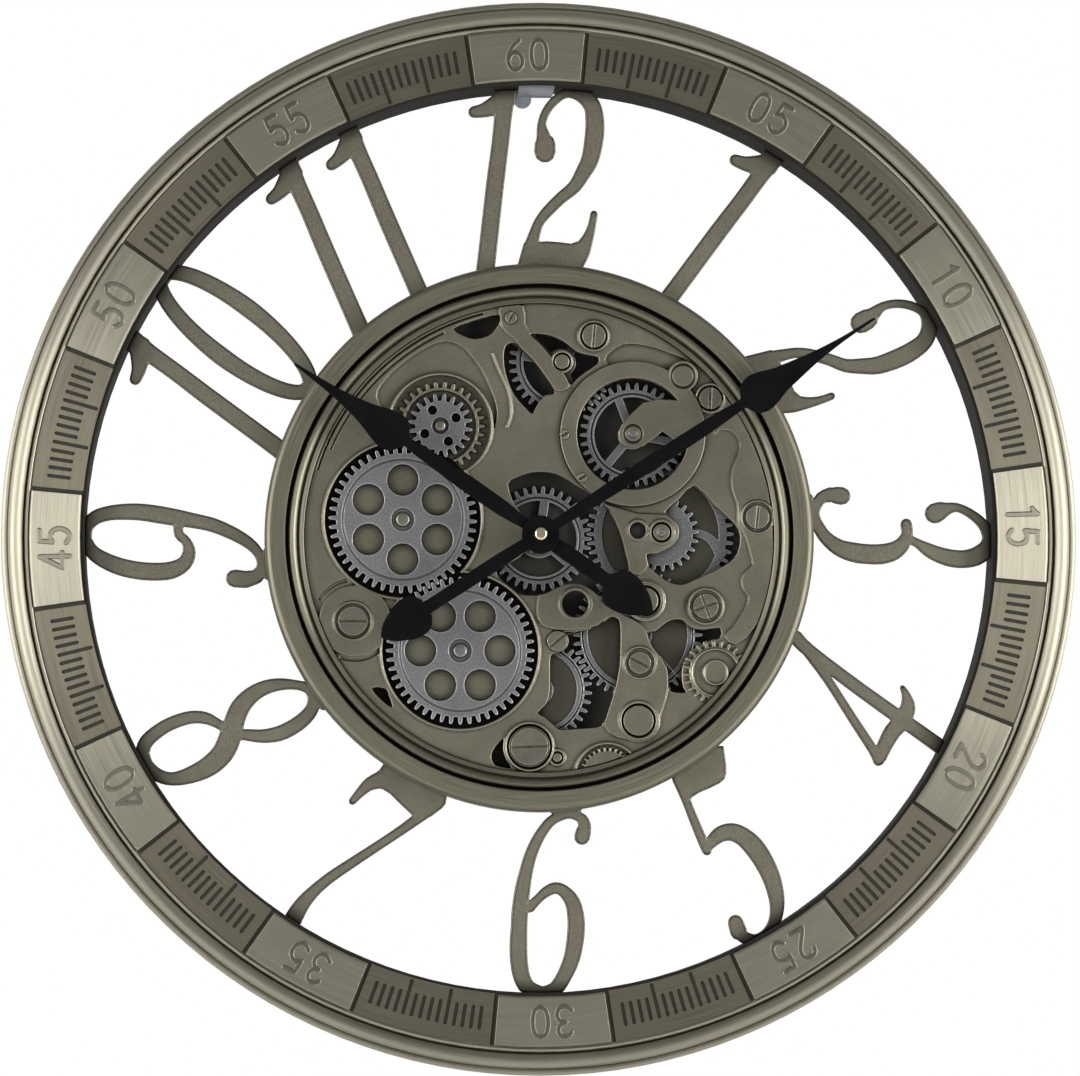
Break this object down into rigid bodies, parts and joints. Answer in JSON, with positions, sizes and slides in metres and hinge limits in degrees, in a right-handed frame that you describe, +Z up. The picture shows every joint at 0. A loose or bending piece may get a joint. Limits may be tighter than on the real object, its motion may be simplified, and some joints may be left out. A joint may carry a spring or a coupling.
{
  "type": "skeleton wall clock",
  "caption": "Round metal skeleton wall clock: ring with minute plates, cut-out hour figures, and a centre drum with an open gear dial, turning gear train and two spade hands.",
  "frame": {"origin": "centre of the hanger's keyhole at the wall plane", "axes": "+Z up, +X to the viewer's right, -Y towards the viewer; the wall is the plane Y = 0"},
  "size_m": [0.6, 0.0692, 0.6],
  "materials": {
    "pewter": "brushed antique pewter",
    "dial_finish": "metallic antique paint",
    "gear_grey": "metallic grey with dark recesses",
    "steel": "satin",
    "black_plastic": "matt",
    "black_paint": "satin",
    "brass": "polished",
    "motor_can": "satin",
    "cell_wrap": "plain wrap"
  },
  "bodies": {
    "case": {"outer_rim": "pewter", "chapter_ring": "pewter", "tick_strips": "pewter", "minute_plates": "pewter", "hanger": "steel", "hanger_strip": "steel", "numeral_01": "pewter", "numeral_02": "pewter", "numeral_03": "pewter", "numeral_04": "pewter", "numeral_05": "pewter", "numeral_06": "pewter", "numeral_07": "pewter", "numeral_08": "pewter", "numeral_09": "pewter", "numeral_10": "pewter", "numeral_11": "pewter", "numeral_12": "pewter", "drum": "pewter", "bezel": "pewter", "dial_rim": "dial_finish", "rear_cover": "black_plastic", "cover_screws": "steel", "main_plate": "black_plastic", "pillars": "steel", "dial_plate": "dial_finish", "ring_bridge": "dial_finish", "dial_screws": "steel", "wheel_studs": "steel", "gear_motor": "motor_can", "battery_box": "black_plastic", "aa_cells": "cell_wrap", "movement_case": "black_plastic", "movement_back": "black_plastic", "drive_unit": "black_plastic", "centre_nut": "brass"},
    "minute_hand": {"minute_hand": "black_paint", "hand_nut": "brass", "minute_arbor": "steel"},
    "hour_hand": {"hour_hand": "black_paint", "hour_tube": "steel"},
    "motion_wheel": {"motion_wheel": "black_plastic"},
    "set_knob": {"set_knob": "black_plastic"},
    "left_wheel": {"left_wheel": "gear_grey"},
    "lower_wheel": {"lower_wheel": "gear_grey", "lower_arbor": "gear_grey"},
    "small_wheel": {"small_wheel": "gear_grey"},
    "centre_wheel": {"centre_wheel": "gear_grey"},
    "top_wheel": {"top_wheel": "gear_grey"},
    "ring_wheel": {"ring_wheel": "gear_grey", "ring_arbor": "gear_grey"},
    "right_wheel": {"right_wheel": "gear_grey", "right_arbor": "gear_grey"},
    "bottom_wheel": {"bottom_wheel": "gear_grey", "bottom_arbor": "gear_grey"},
    "corner_wheel": {"corner_wheel": "gear_grey", "corner_arbor": "gear_grey"},
    "motor_pinion": {"motor_pinion": "brass"},
    "switch_slide": {"switch_slide": "black_plastic"},
    "box_cover": {"box_cover": "black_plastic"}
  },
  "joints": [
    {"name": "minute_hand_turn", "type": "hinge", "parent": "case", "child": "minute_hand", "pos_m": [0, -0.0636, -0.268], "axis": [0, 1, 0], "continuous": true},
    {"name": "hour_hand_turn", "type": "hinge", "parent": "case", "child": "hour_hand", "pos_m": [0, -0.0604, -0.268], "axis": [0, 1, 0], "continuous": true},
    {"name": "motion_wheel_turn", "type": "hinge", "parent": "case", "child": "motion_wheel", "pos_m": [0, -0.0102, -0.28], "axis": [0, 1, 0], "continuous": true},
    {"name": "set_knob_turn", "type": "hinge", "parent": "case", "child": "set_knob", "pos_m": [0.01169, -0.0102, -0.28675], "axis": [0, 1, 0], "continuous": true},
    {"name": "lower_wheel_turn", "type": "hinge", "parent": "case", "child": "lower_wheel", "pos_m": [-0.04411, -0.035, -0.3314], "axis": [0, 1, 0], "continuous": true},
    {"name": "left_wheel_turn", "type": "hinge", "parent": "case", "child": "left_wheel", "pos_m": [-0.07627, -0.035, -0.25815], "axis": [0, 1, 0], "continuous": true},
    {"name": "small_wheel_turn", "type": "hinge", "parent": "case", "child": "small_wheel", "pos_m": [-0.05531, -0.035, -0.2055], "axis": [0, 1, 0], "continuous": true},
    {"name": "bottom_wheel_turn", "type": "hinge", "parent": "case", "child": "bottom_wheel", "pos_m": [0.00007, -0.0275, -0.35305], "axis": [0, 1, 0], "continuous": true},
    {"name": "corner_wheel_turn", "type": "hinge", "parent": "case", "child": "corner_wheel", "pos_m": [0.05527, -0.0275, -0.32198], "axis": [0, 1, 0], "continuous": true},
    {"name": "ring_wheel_turn", "type": "hinge", "parent": "case", "child": "ring_wheel", "pos_m": [0.0524, -0.0275, -0.20989], "axis": [0, 1, 0], "continuous": true},
    {"name": "top_wheel_turn", "type": "hinge", "parent": "case", "child": "top_wheel", "pos_m": [0.01275, -0.0275, -0.1694], "axis": [0, 1, 0], "continuous": true},
    {"name": "right_wheel_turn", "type": "hinge", "parent": "case", "child": "right_wheel", "pos_m": [0.06828, -0.0242, -0.26526], "axis": [0, 1, 0], "continuous": true},
    {"name": "centre_wheel_turn", "type": "hinge", "parent": "case", "child": "centre_wheel", "pos_m": [0, -0.0242, -0.268], "axis": [0, 1, 0], "continuous": true},
    {"name": "motor_pinion_turn", "type": "hinge", "parent": "case", "child": "motor_pinion", "pos_m": [0.04721, -0.0275, -0.15686], "axis": [0, 1, 0], "continuous": true},
    {"name": "switch_slide", "type": "slide", "parent": "case", "child": "switch_slide", "axis": [1, 0, 0], "range_m": [0, 0.006]},
    {"name": "box_cover_slide", "type": "slide", "parent": "case", "child": "box_cover", "axis": [0, 0, 1], "range_m": [0, 0.055]}
  ],
  "couplings": [
    {"joint": "left_wheel_turn", "follows": "lower_wheel_turn", "ratio": -1},
    {"joint": "small_wheel_turn", "follows": "lower_wheel_turn", "ratio": 2.4},
    {"joint": "bottom_wheel_turn", "follows": "lower_wheel_turn", "ratio": -2.4167},
    {"joint": "corner_wheel_turn", "follows": "lower_wheel_turn", "ratio": 1.9563},
    {"joint": "right_wheel_turn", "follows": "lower_wheel_turn", "ratio": -1.693},
    {"joint": "centre_wheel_turn", "follows": "lower_wheel_turn", "ratio": 2.3901},
    {"joint": "ring_wheel_turn", "follows": "lower_wheel_turn", "ratio": 2.0008},
    {"joint": "top_wheel_turn", "follows": "lower_wheel_turn", "ratio": -2.0008},
    {"joint": "motor_pinion_turn", "follows": "lower_wheel_turn", "ratio": 6.8028},
    {"joint": "hour_hand_turn", "follows": "minute_hand_turn", "ratio": 0.083333},
    {"joint": "motion_wheel_turn", "follows": "minute_hand_turn", "ratio": -0.33333},
    {"joint": "set_knob_turn", "follows": "minute_hand_turn", "ratio": 0.66667}
  ]
}
